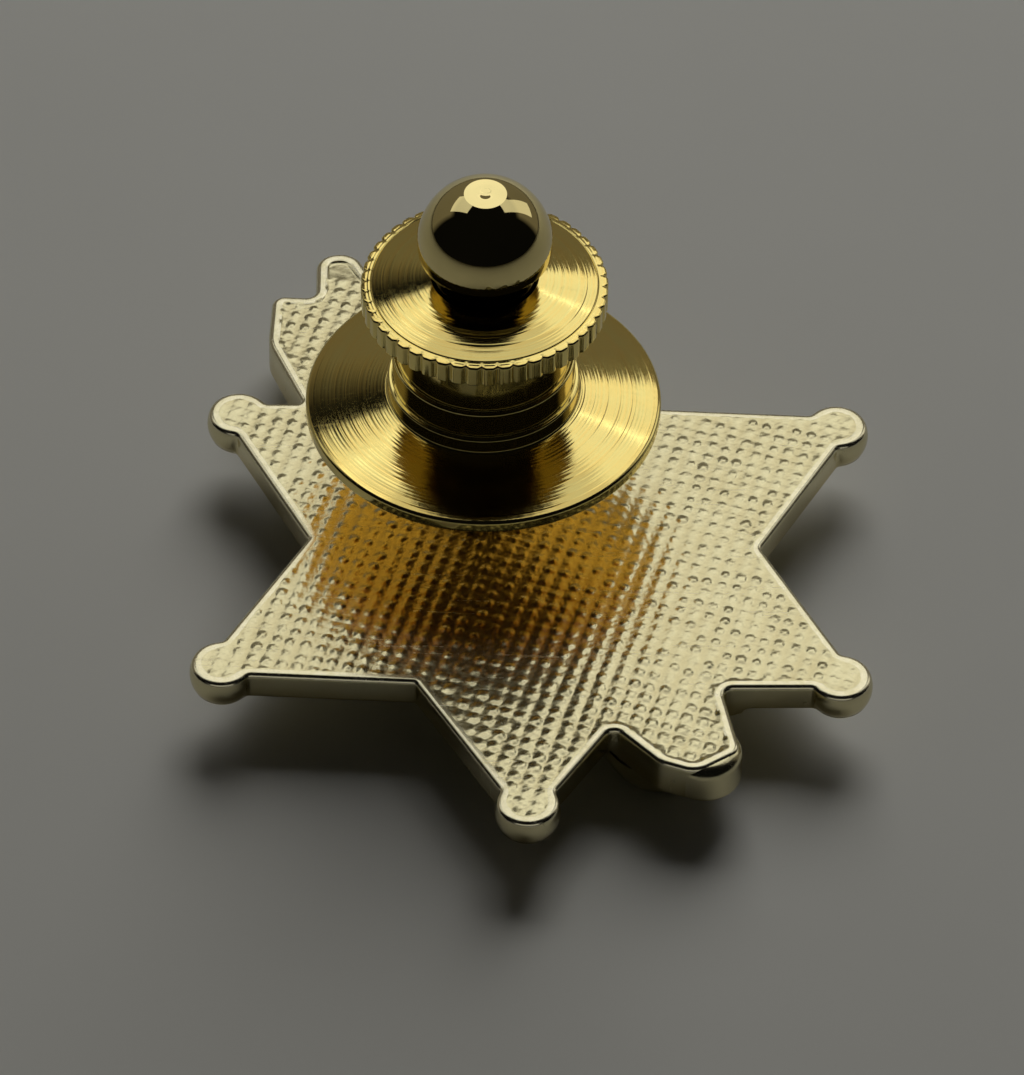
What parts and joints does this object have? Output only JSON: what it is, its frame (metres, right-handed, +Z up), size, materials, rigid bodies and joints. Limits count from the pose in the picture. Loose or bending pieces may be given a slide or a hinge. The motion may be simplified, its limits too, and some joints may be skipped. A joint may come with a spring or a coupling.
{
  "type": "lapel pin",
  "caption": "Star lapel pin with ball tips, lying face down, its raised front form showing past the edge, with a ball-headed locking clutch on the post of its back.",
  "frame": {"origin": "on the flat of the raised front form, on which the badge lies, straight below the star's centre", "axes": "+Z up, out of the badge's back and along the post; +Y towards the star's top point, the one beside the clutch; +X to the right seen from the back"},
  "size_m": [0.0218, 0.0259, 0.0155],
  "materials": {
    "plated_casting": "pale gold plate on a casting, bright edges and a dotted matt back",
    "turned_gold": "gold plate with fine turning lines",
    "polished_gold": "polished gold plate"
  },
  "bodies": {
    "badge": {"star_badge": "plated_casting"},
    "clutch": {"clutch_base": "turned_gold", "knurled_ring": "turned_gold"},
    "head": {"clutch_head": "polished_gold"}
  },
  "joints": [
    {"name": "clutch_slide", "type": "slide", "parent": "badge", "child": "clutch", "axis": [0, 0, 1], "range_m": [-0.0025, 0.006]},
    {"name": "head_lift", "type": "slide", "parent": "clutch", "child": "head", "axis": [0, 0, 1], "range_m": [0, 0.0015], "stiffness_N_per_m": 300, "springref_m": -0.001}
  ]
}
